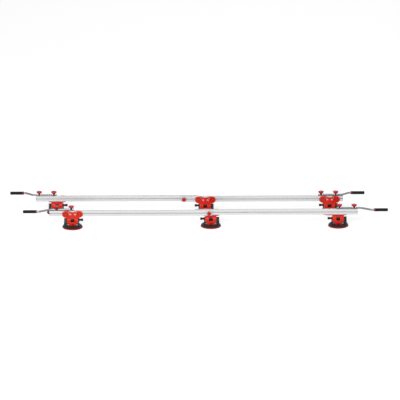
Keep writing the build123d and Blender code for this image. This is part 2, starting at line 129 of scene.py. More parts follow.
def cup_places() -> Iterator[tuple[Row, CupPlace, str]]:
    """Go through the cups of both bars.

    Returns:
        Each row and place, with their label in node and body names.
    """
    for row in Row:
        for cup in CupPlace:
            yield row, cup, f"{row.label}_{cup.label}"


def middle_of(node: str) -> Vector:
    """Middle of a CAD node's box."""
    low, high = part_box(node)
    return (low + high) / 2


# Modelling by hand


def deselect_all() -> None:
    """Leave edit mode with nothing selected."""
    if bpy.context.mode != "OBJECT":
        bpy.ops.object.mode_set(mode="OBJECT")
    bpy.ops.object.select_all(action="DESELECT")


def make_active(piece: bpy.types.Object) -> None:
    """Select one piece alone and make it the active one."""
    deselect_all()
    piece.select_set(True)
    bpy.context.view_layer.objects.active = piece


def settle(name: str) -> bpy.types.Object:
    """Name the primitive just added and put its place into its mesh.

    Args:
        name: The piece's name.

    Returns:
        The piece, at the origin.
    """
    piece = bpy.context.active_object
    piece.name = name
    make_active(piece)
    bpy.ops.object.transform_apply(location=True, rotation=True, scale=True)
    return piece


def cylinder(
    name: str, sides: int, radius: float, depth: float, middle: Sequence[float] = (0, 0, 0)
) -> bpy.types.Object:
    """A plain cylinder along Z, to be shaped further or to cut with.

    Args:
        name: The piece's name.
        sides: How many sides it has.
        radius: Its radius.
        depth: Its length.
        middle: Where its middle is.

    Returns:
        The cylinder.
    """
    deselect_all()
    bpy.ops.mesh.primitive_cylinder_add(
        vertices=sides, radius=radius, depth=depth, location=middle
    )
    return settle(name)


def block(
    name: str, size: Sequence[float], middle: Sequence[float] = (0, 0, 0)
) -> bpy.types.Object:
    """A plain block, to be shaped further.

    Args:
        name: The piece's name.
        size: Its size along X, Y and Z.
        middle: Where its middle is.

    Returns:
        The block.
    """
    deselect_all()
    bpy.ops.mesh.primitive_cube_add(size=1, location=middle)
    bpy.context.active_object.scale = size
    return settle(name)


@contextmanager
def editing(piece: bpy.types.Object) -> Iterator[None]:
    """Edit mode on one piece, with faces as what is selected."""
    make_active(piece)
    bpy.ops.object.mode_set(mode="EDIT")
    bpy.ops.mesh.select_mode(type="FACE")
    yield
    bpy.ops.object.mode_set(mode="OBJECT")


def extrude(shift: Sequence[float]) -> None:
    """Extrude what is selected by a shift."""
    bpy.ops.mesh.extrude_region_move(TRANSFORM_OT_translate={"value": shift})


def pick_faces(piece: bpy.types.Object, wanted: Callable[[Vector, Vector], bool]) -> None:
    """Select, in edit mode, the faces that pass a test.

    Args:
        piece: The piece in edit mode.
        wanted: Test of a face's centre and normal.
    """
    mesh = bmesh.from_edit_mesh(piece.data)
    for face in mesh.faces:
        face.select_set(wanted(face.calc_center_median(), face.normal))
    mesh.select_flush_mode()
    bmesh.update_edit_mesh(piece.data)


def recalculate(piece: bpy.types.Object) -> None:
    """Merge doubles and point every face outwards."""
    with editing(piece):
        bpy.ops.mesh.select_all(action="SELECT")
        bpy.ops.mesh.remove_doubles(threshold=MERGE_REACH)
        bpy.ops.mesh.normals_make_consistent(inside=False)


def turned(name: str, stations: Sequence[Station], around: int = ROUND_SIDES) -> bpy.types.Object:
    """A round piece about Z, drawn out from a short cylinder one station at a time.

    Args:
        name: The piece's name.
        stations: Height and radius of each ring, in millimetres.
        around: How many sides the rings have.

    Returns:
        The closed piece.
    """
    rings = [(height * MM, radius * MM) for height, radius in stations]
    (start, first), (height, radius) = rings[:2]
    piece = cylinder(name, around, first, abs(height - start), (0, 0, (start + height) / 2))
    with editing(piece):
        pick_faces(
            piece,
            lambda centre, normal: abs(centre.z - height) < LEVEL_REACH and abs(normal.z) > FACING,
        )
        scale_ring(radius / first, height)
        for next_height, next_radius in rings[2:]:
            extrude((0, 0, next_height - height))
            scale_ring(next_radius / radius, next_height)
            height, radius = next_height, next_radius
    recalculate(piece)
    return piece


def scale_ring(ratio: float, height: float) -> None:
    """Scale the selected ring about the Z axis at a height."""
    bpy.ops.transform.resize(value=(ratio, ratio, 1), center_override=(0, 0, height))


def round_edges(
    piece: bpy.types.Object, width: float, segments: int = 2, angle: float = 30
) -> None:
    """Round a piece's sharp edges.

    Args:
        piece: The piece.
        width: Width of the rounding, in millimetres.
        segments: Steps across the rounding.
        angle: Edges that turn by more than this, in degrees, are rounded.
    """
    make_active(piece)
    bpy.ops.object.modifier_add(type="BEVEL")
    rounding = piece.modifiers[-1]
    rounding.width = width * MM
    rounding.segments = segments
    rounding.limit_method = "ANGLE"
    rounding.angle_limit = math.radians(angle)
    bpy.ops.object.modifier_apply(modifier=rounding.name)


def cut(piece: bpy.types.Object, cutter: bpy.types.Object) -> None:
    """Cut one shape out of a piece and throw the cutter away."""
    make_active(piece)
    bpy.ops.object.modifier_add(type="BOOLEAN")
    cutting = piece.modifiers[-1]
    cutting.operation = "DIFFERENCE"
    cutting.object = cutter
    bpy.ops.object.modifier_apply(modifier=cutting.name)
    bpy.data.objects.remove(cutter)


def joined(name: str, pieces: Sequence[bpy.types.Object]) -> bpy.types.Object:
    """Join several pieces into one mesh.

    Args:
        name: Name of the joined piece.
        pieces: What is joined.

    Returns:
        The joined piece.
    """
    make_active(pieces[0])
    for piece in pieces:
        piece.select_set(True)
    bpy.ops.object.join()
    pieces[0].name = name
    return pieces[0]


def smooth(piece: bpy.types.Object, angle: float = 30) -> None:
    """Shade a piece smooth, apart from edges sharper than an angle in degrees."""
    make_active(piece)
    bpy.ops.object.shade_smooth_by_angle(angle=math.radians(angle))


def copied(master: bpy.types.Object, name: str, place: Matrix) -> bpy.types.Object:
    """A copy of a piece with its own mesh, placed in that mesh.

    Args:
        master: The piece to copy.
        name: The copy's name.
        place: Where the copy goes.

    Returns:
        The copy, with its object at the origin.
    """
    mesh = master.data.copy()
    mesh.transform(place)
    if place.determinant() < 0:
        mesh.flip_normals()
    copy = bpy.data.objects.new(name, mesh)
    bpy.context.scene.collection.objects.link(copy)
    return copy


def discard(*masters: bpy.types.Object) -> None:
    """Throw away the pieces that copies were made from."""
    for master in masters:
        bpy.data.objects.remove(master)


# Effects that several finishes share


def new_group(name: str, values: dict[str, float], outputs: Sequence[str]) -> bpy.types.NodeTree:
    """An empty shader group that reads coordinates and a few values.

    Args:
        name: The group's name.
        values: Default of each value by its name.
        outputs: Names of the value outputs.

    Returns:
        The group, with an input and an output node.
    """
    tree = bpy.data.node_groups.new(name, "ShaderNodeTree")
    tree.interface.new_socket("Vector", in_out="INPUT", socket_type="NodeSocketVector")
    for label, default in values.items():
        socket = tree.interface.new_socket(label, in_out="INPUT", socket_type="NodeSocketFloat")
        socket.default_value = default
    for label in outputs:
        tree.interface.new_socket(label, in_out="OUTPUT", socket_type="NodeSocketFloat")
    tree.nodes.new("NodeGroupInput")
    tree.nodes.new("NodeGroupOutput")
    return tree


def feed(tree: bpy.types.NodeTree, value: object, socket: bpy.types.NodeSocket) -> None:
    """Link a socket to another one, or set a plain value on it.

    Args:
        tree: Where the link goes.
        value: A socket or a plain value.
        socket: The socket that is fed.
    """
    if isinstance(value, bpy.types.NodeSocket):
        tree.links.new(value, socket)
    else:
        socket.default_value = value


def math_node(
    tree: bpy.types.NodeTree, operation: str, first: object, second: object, clamp: bool = True
) -> bpy.types.NodeSocket:
    """A sum in a node tree.

    Args:
        tree: Where the node goes.
        operation: Blender's name of the sum.
        first: A socket or a number.
        second: A socket or a number.
        clamp: Whether the result is kept between 0 and 1.

    Returns:
        The node's result.
    """
    node = tree.nodes.new("ShaderNodeMath")
    node.operation = operation
    node.use_clamp = clamp
    for socket, value in zip(node.inputs, (first, second)):
        feed(tree, value, socket)
    return node.outputs[0]


def noise_node(
    tree: bpy.types.NodeTree, place: bpy.types.NodeSocket, scale: object, detail: float = 2.0
) -> bpy.types.Node:
    """A noise pattern in a node tree.

    Args:
        tree: Where the node goes.
        place: The coordinates it reads.
        scale: A socket or a number.
        detail: How many finer layers it has.

    Returns:
        The node, whose Fac is the pattern.
    """
    node = tree.nodes.new("ShaderNodeTexNoise")
    node.inputs["Detail"].default_value = detail
    tree.links.new(place, node.inputs["Vector"])
    feed(tree, scale, node.inputs["Scale"])
    return node


class Effects:
    """The shader groups that the finishes share, each built once."""

    GRAIN_DETAIL = 3.0
    GRAIN_ROUGHNESS = 0.6
    BLOTCH_SHARE = 0.05  # scale of the blotches against that of the grain
    EDGE_SAMPLES = 4
    EDGE_GAIN = 4.0  # how soon a turned edge takes the edge colour
    BREAK_SCALE = 130.0
    BREAK_DETAIL = 3.0
    DUST_SCALE = 55.0
    DUST_DETAIL = 5.0
    RECESS_REACH = 0.012
    RECESS_SAMPLES = 8
    RECESS_GAIN = 2.2  # how soon a closed place takes the painted shade
    RECESS_SCALE = 90.0
    RECESS_LEAST = 0.5  # share of the painted shade where the patches are weakest

    def __init__(self) -> None:
        """Build every group."""
        self.grain = self.build_grain()
        self.wear = self.build_wear()
        self.dust = self.build_dust()
        self.recess = self.build_recess()

    def build_grain(self) -> bpy.types.NodeTree:
        """Fine grain, with broad blotches for slow changes of tone.

        Returns:
            A group with the outputs Grain and Blotch.
        """
        tree = new_group("fine_grain", {"Scale": 400.0}, ["Grain", "Blotch"])
        given, result = tree.nodes["Group Input"], tree.nodes["Group Output"]
        place, scale = given.outputs["Vector"], given.outputs["Scale"]
        fine = noise_node(tree, place, scale, self.GRAIN_DETAIL)
        fine.inputs["Roughness"].default_value = self.GRAIN_ROUGHNESS
        broad_scale = math_node(tree, "MULTIPLY", scale, self.BLOTCH_SHARE, clamp=False)
        broad = noise_node(tree, place, broad_scale)
        tree.links.new(fine.outputs["Fac"], result.inputs["Grain"])
        tree.links.new(broad.outputs["Fac"], result.inputs["Blotch"])
        return tree

    def build_wear(self) -> bpy.types.NodeTree:
        """Broken lines of a finish's edge colour along outer edges: wear where handling thins a
        finish, a painted highlight on the castings and black mouldings, and painted shade on the
        aluminium.

        Returns:
            A group with the output Mask.
        """
        tree = new_group("edge_wear", {"Radius": 0.0012, "Amount": 0.5}, ["Mask"])
        given, result = tree.nodes["Group Input"], tree.nodes["Group Output"]
        rounded = tree.nodes.new("ShaderNodeBevel")
        rounded.samples = self.EDGE_SAMPLES
        tree.links.new(given.outputs["Radius"], rounded.inputs["Radius"])
        surface = tree.nodes.new("ShaderNodeNewGeometry")
        meeting = tree.nodes.new("ShaderNodeVectorMath")
        meeting.operation = "DOT_PRODUCT"
        tree.links.new(rounded.outputs["Normal"], meeting.inputs[0])
        tree.links.new(surface.outputs["Normal"], meeting.inputs[1])
        edge = math_node(tree, "SUBTRACT", 1.0, meeting.outputs["Value"])
        edge = math_node(tree, "MULTIPLY", edge, self.EDGE_GAIN)
        breaks = noise_node(tree, given.outputs["Vector"], self.BREAK_SCALE, self.BREAK_DETAIL)
        broken = math_node(tree, "MULTIPLY", edge, breaks.outputs["Fac"])
        mask = math_node(tree, "MULTIPLY", broken, given.outputs["Amount"])
        tree.links.new(mask, result.inputs["Mask"])
        return tree

    def build_dust(self) -> bpy.types.NodeTree:
        """A thin film of dust on faces that look up.

        Returns:
            A group with the output Mask.
        """
        tree = new_group("settled_dust", {"Amount": 0.1}, ["Mask"])
        given, result = tree.nodes["Group Input"], tree.nodes["Group Output"]
        surface = tree.nodes.new("ShaderNodeNewGeometry")
        split = tree.nodes.new("ShaderNodeSeparateXYZ")
        tree.links.new(surface.outputs["Normal"], split.inputs[0])
        patches = noise_node(tree, given.outputs["Vector"], self.DUST_SCALE, self.DUST_DETAIL)
        lying = math_node(tree, "MULTIPLY", split.outputs["Z"], patches.outputs["Fac"])
        mask = math_node(tree, "MULTIPLY", lying, given.outputs["Amount"])
        tree.links.new(mask, result.inputs["Mask"])
        return tree

    def build_recess(self) -> bpy.types.NodeTree:
        """Painted shade: a deeper tone in rings, corners and other places that little light
        reaches.

        Returns:
            A group with the output Mask.
        """
        tree = new_group("recess_tone", {"Reach": self.RECESS_REACH, "Amount": 0.0}, ["Mask"])
        given, result = tree.nodes["Group Input"], tree.nodes["Group Output"]
        open_share = tree.nodes.new("ShaderNodeAmbientOcclusion")
        open_share.samples = self.RECESS_SAMPLES
        open_share.only_local = True
        tree.links.new(given.outputs["Reach"], open_share.inputs["Distance"])
        closed = math_node(tree, "SUBTRACT", 1.0, open_share.outputs["AO"])
        closed = math_node(tree, "MULTIPLY", closed, self.RECESS_GAIN)
        patches = noise_node(tree, given.outputs["Vector"], self.RECESS_SCALE)
        uneven = math_node(tree, "ADD", patches.outputs["Fac"], self.RECESS_LEAST)
        closed = math_node(tree, "MULTIPLY", closed, uneven)
        mask = math_node(tree, "MULTIPLY", closed, given.outputs["Amount"])
        tree.links.new(mask, result.inputs["Mask"])
        return tree


@dataclass(frozen=True)
class Grain:
    """The fine pattern of a surface."""

    stretch: tuple[float, float, float] = (1.0, 1.0, 1.0)
    scale: float = 500.0
    height: float = 0.05
    strength: float = 0.25


@dataclass(frozen=True)
class Finish:
    """One finish of the frame, and how its material is made."""

    name: str
    slot: str
    colour: Colour
    deep: Colour
    edge: Colour
    roughness: tuple[float, float]
    grain: Grain
    metallic: float = 0.0
    specular: float = 0.5
    gloss_tint: Colour = (1.0, 1.0, 1.0)
    sheen: float = 0.0
    # share and width of the edge colour: wear, a painted highlight on the castings and black
    # mouldings, painted shade on the aluminium
    wear: float = 0.3
    wear_width: float = 1.2
    dust: float = 0.06
    # share of painted shade in recesses
    recess: float = 0.0

    def material(self, effects: Effects) -> bpy.types.Material:
        """Make the finish's material.

        Args:
            effects: The shared shader groups.

        Returns:
            A node material that reads Object coordinates.
        """
        made = bpy.data.materials.new(self.name)
        made.use_nodes = True
        tree = made.node_tree
        shader = tree.nodes["Principled BSDF"]
        shader.inputs["Metallic"].default_value = self.metallic
        shader.inputs["Specular IOR Level"].default_value = self.specular
        shader.inputs["Specular Tint"].default_value = (*self.gloss_tint, 1.0)
        shader.inputs["Sheen Weight"].default_value = self.sheen
        place = tree.nodes.new("ShaderNodeTexCoord").outputs["Object"]
        stretched = tree.nodes.new("ShaderNodeMapping")
        stretched.inputs["Scale"].default_value = self.grain.stretch
        tree.links.new(place, stretched.inputs["Vector"])
        along = stretched.outputs["Vector"]
        grain = self.effect(tree, effects.grain, along, Scale=self.grain.scale)
        wear = self.effect(tree, effects.wear, place, Amount=self.wear, Radius=self.wear_width * MM)
        dust = self.effect(tree, effects.dust, place, Amount=self.dust)
        tone = self.mixed(tree, grain.outputs["Blotch"], self.deep, self.colour)
        # Painted shade: recesses take a darker share of the deep tone.
        if self.recess > 0:
            recess = self.effect(tree, effects.recess, place, Amount=self.recess)
            shade_tone = tuple(RECESS_SHADE_SHARE * part for part in self.deep)
            tone = self.mixed(tree, recess.outputs["Mask"], tone, shade_tone)
        # Edge colour: wear, with a painted highlight on the castings and black mouldings and
        # painted shade on the aluminium.
        tone = self.mixed(tree, wear.outputs["Mask"], tone, self.edge)
        tone = self.mixed(tree, dust.outputs["Mask"], tone, DUST_TONE)
        tree.links.new(tone, shader.inputs["Base Color"])
        gloss = tree.nodes.new("ShaderNodeMapRange")
        gloss.inputs["To Min"].default_value, gloss.inputs["To Max"].default_value = self.roughness
        tree.links.new(grain.outputs["Grain"], gloss.inputs["Value"])
        tree.links.new(gloss.outputs["Result"], shader.inputs["Roughness"])
        bump = tree.nodes.new("ShaderNodeBump")
        bump.inputs["Strength"].default_value = self.grain.strength
        bump.inputs["Distance"].default_value = self.grain.height * MM
        tree.links.new(grain.outputs["Grain"], bump.inputs["Height"])
        tree.links.new(bump.outputs["Normal"], shader.inputs["Normal"])
        return made

    @staticmethod
    def effect(
        tree: bpy.types.NodeTree,
        group: bpy.types.NodeTree,
        place: bpy.types.NodeSocket,
        **values: float,
    ) -> bpy.types.Node:
        """Place a shared group in a material.

        Args:
            tree: The material's tree.
            group: The shared group.
            place: The coordinates it reads.
            values: Its own values by socket name.

        Returns:
            The group's node.
        """
        node = tree.nodes.new("ShaderNodeGroup")
        node.node_tree = group
        tree.links.new(place, node.inputs["Vector"])
        for label, value in values.items():
            node.inputs[label].default_value = value
        return node

    @staticmethod
    def mixed(
        tree: bpy.types.NodeTree, share: bpy.types.NodeSocket, first: object, second: object
    ) -> bpy.types.NodeSocket:
        """Mix two colours by a share.

        Args:
            tree: The material's tree.
            share: How much of the second colour shows.
            first: A colour or a socket.
            second: A colour or a socket.

        Returns:
            The mixed colour.
        """
        node = tree.nodes.new("ShaderNodeMix")
        node.data_type = "RGBA"
        tree.links.new(share, node.inputs["Factor"])
        for socket, value in zip(node.inputs[MIX_COLOURS], (first, second)):
            plain = not isinstance(value, bpy.types.NodeSocket)
            feed(tree, (*value, 1.0) if plain else value, socket)
        return node.outputs[MIX_RESULT]


SATIN_ALUMINIUM = Finish(
    name="satin_aluminium",
    slot="anodised_profile",
    colour=(0.605, 0.605, 0.61),
    deep=(0.59, 0.59, 0.597),
    # edge colour darker than the profile: painted shade along its edges
    edge=(0.40, 0.40, 0.41),
    roughness=(0.50, 0.56),
    grain=Grain(stretch=(0.006, 1.0, 1.0), scale=900.0, height=0.02, strength=0.06),
    metallic=1.0,
    wear=0.7,
    wear_width=3.0,
    dust=0.0,
    # painted shade in the side slots
    recess=0.2,
)
RED_COAT = Finish(
    name="red_coat",
    slot="red_casting",
    colour=(0.80, 0.020, 0.008),
    deep=(0.53, 0.007, 0.008),
    # orange edge colour: painted highlight along the casting's edges
    edge=(0.85, 0.17, 0.076),
    roughness=(0.19, 0.31),
    grain=Grain(scale=420.0, height=0.12, strength=0.3),
    specular=0.42,
    gloss_tint=(1.0, 0.78, 0.56),
    wear=0.8,
    wear_width=3.0,
    dust=0.01,
    # painted shade in rings, pockets and corners
    recess=0.55,
)
RED_CAP = Finish(
    name="red_cap",
    slot="red_knob",
    colour=(0.54, 0.011, 0.019),
    deep=(0.47, 0.008, 0.014),
    edge=(0.63, 0.051, 0.051),
    roughness=(0.36, 0.50),
    grain=Grain(scale=900.0, height=0.04, strength=0.2),
    specular=0.25,
    wear=0.4,
    dust=0.02,
)
LAP_CAP = Finish(
    name="lap_cap",
    slot="red_knob",
    colour=(0.56, 0.013, 0.014),
    deep=(0.49, 0.008, 0.010),
    edge=(0.71, 0.076, 0.051),
    roughness=(0.34, 0.48),
    grain=Grain(scale=900.0, height=0.04, strength=0.2),
    specular=0.3,
    wear=0.4,
    dust=0.02,
)
BLACK_HUB = Finish(
    name="black_hub",
    slot="red_knob",
    colour=(0.012, 0.012, 0.013),
    deep=(0.008, 0.008, 0.009),
    edge=(0.05, 0.05, 0.05),
    roughness=(0.40, 0.54),
    grain=Grain(scale=900.0, height=0.04, strength=0.2),
    specular=0.3,
    dust=0.02,
)
ZINC_PLATE = Finish(
    name="zinc_plate",
    slot="plated_bar",
    colour=(0.27, 0.277, 0.289),
    deep=(0.188, 0.194, 0.204),
    edge=(0.55, 0.56, 0.58),
    roughness=(0.24, 0.40),
    grain=Grain(scale=260.0, height=0.02, strength=0.15),
    metallic=1.0,
    dust=0.01,
)
BRIGHT_SCREW = Finish(
    name="bright_screw",
    slot="plated_bolt",
    colour=(0.80, 0.81, 0.83),
    deep=(0.66, 0.67, 0.69),
    edge=(0.90, 0.90, 0.90),
    roughness=(0.20, 0.36),
    grain=Grain(scale=700.0, height=0.02, strength=0.15),
    metallic=1.0,
    dust=0.02,
)
BLACKENED_BOLT = Finish(
    name="blackened_bolt",
    slot="plated_bolt",
    colour=(0.23, 0.015, 0.014),
    deep=(0.17, 0.011, 0.010),
    edge=(0.36, 0.068, 0.051),
    roughness=(0.36, 0.52),
    grain=Grain(scale=700.0, height=0.03, strength=0.2),
    metallic=0.3,
    specular=0.3,
    dust=0.01,
)
SLEEVE_RUBBER = Finish(
    name="sleeve_rubber",
    slot="black_grip",
    colour=(0.014, 0.014, 0.015),
    deep=(0.010, 0.010, 0.011),
    edge=(0.03, 0.03, 0.03),
    roughness=(0.66, 0.82),
    grain=Grain(scale=1300.0, height=0.10, strength=0.35),
    specular=0.14,
    dust=0.004,
)
RED_COLLAR = Finish(
    name="red_collar",
    slot="red_knob",
    colour=(0.25, 0.011, 0.019),
    deep=(0.20, 0.008, 0.014),
    edge=(0.36, 0.042, 0.051),
    roughness=(0.40, 0.55),
    grain=Grain(scale=900.0, height=0.04, strength=0.2),
    specular=0.25,
    dust=0.02,
)
FILLED_MOULDING = Finish(
    name="filled_moulding",
    slot="black_moulding",
    colour=(0.012, 0.012, 0.0125),
    deep=(0.007, 0.007, 0.0075),
    # light edge colour: painted highlight on edges and ribs
    edge=(0.10, 0.10, 0.10),
    roughness=(0.34, 0.52),
    grain=Grain(scale=800.0, height=0.10, strength=0.35),
    specular=0.22,
    wear=0.6,
    dust=0.010,
    # painted shade in recesses
    recess=0.5,
)
PAD_RUBBER = Finish(
    name="pad_rubber",
    slot="red_rubber",
    colour=(0.56, 0.025, 0.012),
    deep=(0.47, 0.017, 0.008),
    edge=(0.68, 0.085, 0.034),
    roughness=(0.48, 0.64),
    grain=Grain(scale=900.0, height=0.06, strength=0.25),
    specular=0.2,
    sheen=0.02,
    dust=0.02,
)
PLUNGER_BLACK = Finish(
    name="plunger_black",
    slot="black_plunger",
    colour=(0.013, 0.013, 0.014),
    deep=(0.009, 0.009, 0.010),
    edge=(0.05, 0.05, 0.05),
    roughness=(0.44, 0.58),
    grain=Grain(scale=900.0, height=0.04, strength=0.2),
    specular=0.16,
    dust=0.005,
)


class Dresser:
    """Gives pieces their finish and body, and reports them."""

    def __init__(self, effects: Effects) -> None:
        """Keep the shared effects and the materials made so far."""
        self.effects = effects
        self.made: dict[str, bpy.types.Material] = {}

    def material(self, finish: Finish) -> bpy.types.Material:
        """The one material of a finish."""
        if finish.name not in self.made:
            self.made[finish.name] = finish.material(self.effects)
        return self.made[finish.name]

    def node(self, name: str, finish: Finish) -> None:
        """Dress a CAD node.

        Args:
            name: The node's name.
            finish: Its finish.
        """
        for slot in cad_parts[name].material_slots:
            slot.material = self.material(finish)
        LOG.info("node %s: %s", name, finish.name)

    def piece(
        self, piece: bpy.types.Object, finish: Finish, body: str, node: str | None = None
    ) -> None:
        """Dress a new piece and let it ride.

        Args:
            piece: The piece, in place.
            finish: Its finish.
            body: The CAD body that carries it.
            node: The CAD node that it stands for, if it does.
        """
        piece.data.materials.clear()
        piece.data.materials.append(self.material(finish))
        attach(piece, body)
        if node is not None:
            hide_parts(node)
        LOG.info("piece %s on %s: %s", piece.name, body, finish.name)


@dataclass(frozen=True)
class Lamp:
    """A square soft lamp, aimed at the frame."""

    name: str
    place: tuple[float, float, float]
    power: float
    size: float = 6.0

    def build(self, target: Vector) -> None:
        """Put the lamp up.

        Args:
            target: What it is aimed at.
        """
        deselect_all()
        bpy.ops.object.light_add(type="AREA", location=self.place)
        lamp = bpy.context.active_object
        lamp.name = self.name
        lamp.data.size = self.size
        lamp.data.energy = self.power
        aim = target - Vector(self.place)
        lamp.rotation_euler = aim.to_track_quat("-Z", "Y").to_euler()


@dataclass
class Studio:
    """Floor, sky, lamps and camera: a key from the front, a fill from the right, a lamp behind."""

    target: tuple[float, float, float] = (0.0134, 0.0, 0.201)
    azimuth: float = -0.65
    elevation: float = 18.0
    distance: float = 100.0
    width_seen: float = 3.94
    sensor: float = 36.0
    clip_share: float = 4.0
    floor_half: float = 60.0
    floor_colour: Colour = (0.62, 0.62, 0.62)
    floor_roughness: float = 0.9
    floor_lift: float = 0.63
    sky_light: float = 0.40
    sky_seen: float = 1.0
    lamps: tuple[Lamp, ...] = (
        Lamp("key", (-2.5, -9.0, 5.0), 755.0),
        Lamp("fill", (6.0, -5.0, 3.5), 71.0),
        Lamp("back", (1.0, 7.0, 5.5), 53.0),
    )

    def build(self) -> None:
        """Set up the whole studio."""
        bpy.context.scene.view_settings.view_transform = "Standard"
        self.build_floor()
        self.build_sky()
        for lamp in self.lamps:
            lamp.build(Vector(self.target))
        self.build_camera()

    def build_floor(self) -> None:
        """A plain floor that looks white and keeps the shadow."""
        deselect_all()
        bpy.ops.mesh.primitive_plane_add(size=2 * self.floor_half)
        floor = settle("floor")
        paint = bpy.data.materials.new("white_floor")
        paint.use_nodes = True
        tree = paint.node_tree
        shader = tree.nodes["Principled BSDF"]
        shader.inputs["Base Color"].default_value = (*self.floor_colour, 1.0)
        shader.inputs["Roughness"].default_value = self.floor_roughness
        shader.inputs["Specular IOR Level"].default_value = 0.0
        shader.inputs["Emission Color"].default_value = WHITE
        lift = math_node(tree, "MULTIPLY", self.seen_share(tree), self.floor_lift)
        tree.links.new(lift, shader.inputs["Emission Strength"])
        floor.data.materials.append(paint)

    @staticmethod
    def seen_share(tree: bpy.types.NodeTree) -> bpy.types.NodeSocket:
        """1 where the camera, a reflection or glass looks, and 0 for light on the object.

        Args:
            tree: The tree that reads it.

        Returns:
            The share.
        """
        path = tree.nodes.new("ShaderNodeLightPath")
        share = path.outputs["Is Camera Ray"]
        for ray in ("Is Glossy Ray", "Is Transmission Ray"):
            share = math_node(tree, "ADD", share, path.outputs[ray])
        return share

    def build_sky(self) -> None:
        """White where it is seen, and a plain even light on the object."""
        world = bpy.data.worlds.new("studio")
        bpy.context.scene.world = world
        world.use_nodes = True
        tree = world.node_tree
        sky = tree.nodes["Background"]
        sky.inputs["Color"].default_value = WHITE
        level = tree.nodes.new("ShaderNodeMapRange")
        level.inputs["To Min"].default_value = self.sky_light
        level.inputs["To Max"].default_value = self.sky_seen
        tree.links.new(self.seen_share(tree), level.inputs["Value"])
        tree.links.new(level.outputs["Result"], sky.inputs["Strength"])

    def build_camera(self) -> None:
        """A long lens at the photograph's angle."""
        tilt, swing = math.radians(self.elevation), math.radians(self.azimuth)
        level = math.cos(tilt)
        back = Vector((level * math.sin(swing), -level * math.cos(swing), math.sin(tilt)))
        deselect_all()
        bpy.ops.object.camera_add(location=Vector(self.target) + self.distance * back)
        camera = bpy.context.active_object
        camera.rotation_euler = (math.pi / 2 - tilt, 0, swing)
        camera.data.sensor_width = self.sensor
        camera.data.lens = self.sensor * self.distance / self.width_seen
        camera.data.clip_end = self.clip_share * self.distance
        bpy.context.scene.camera = camera


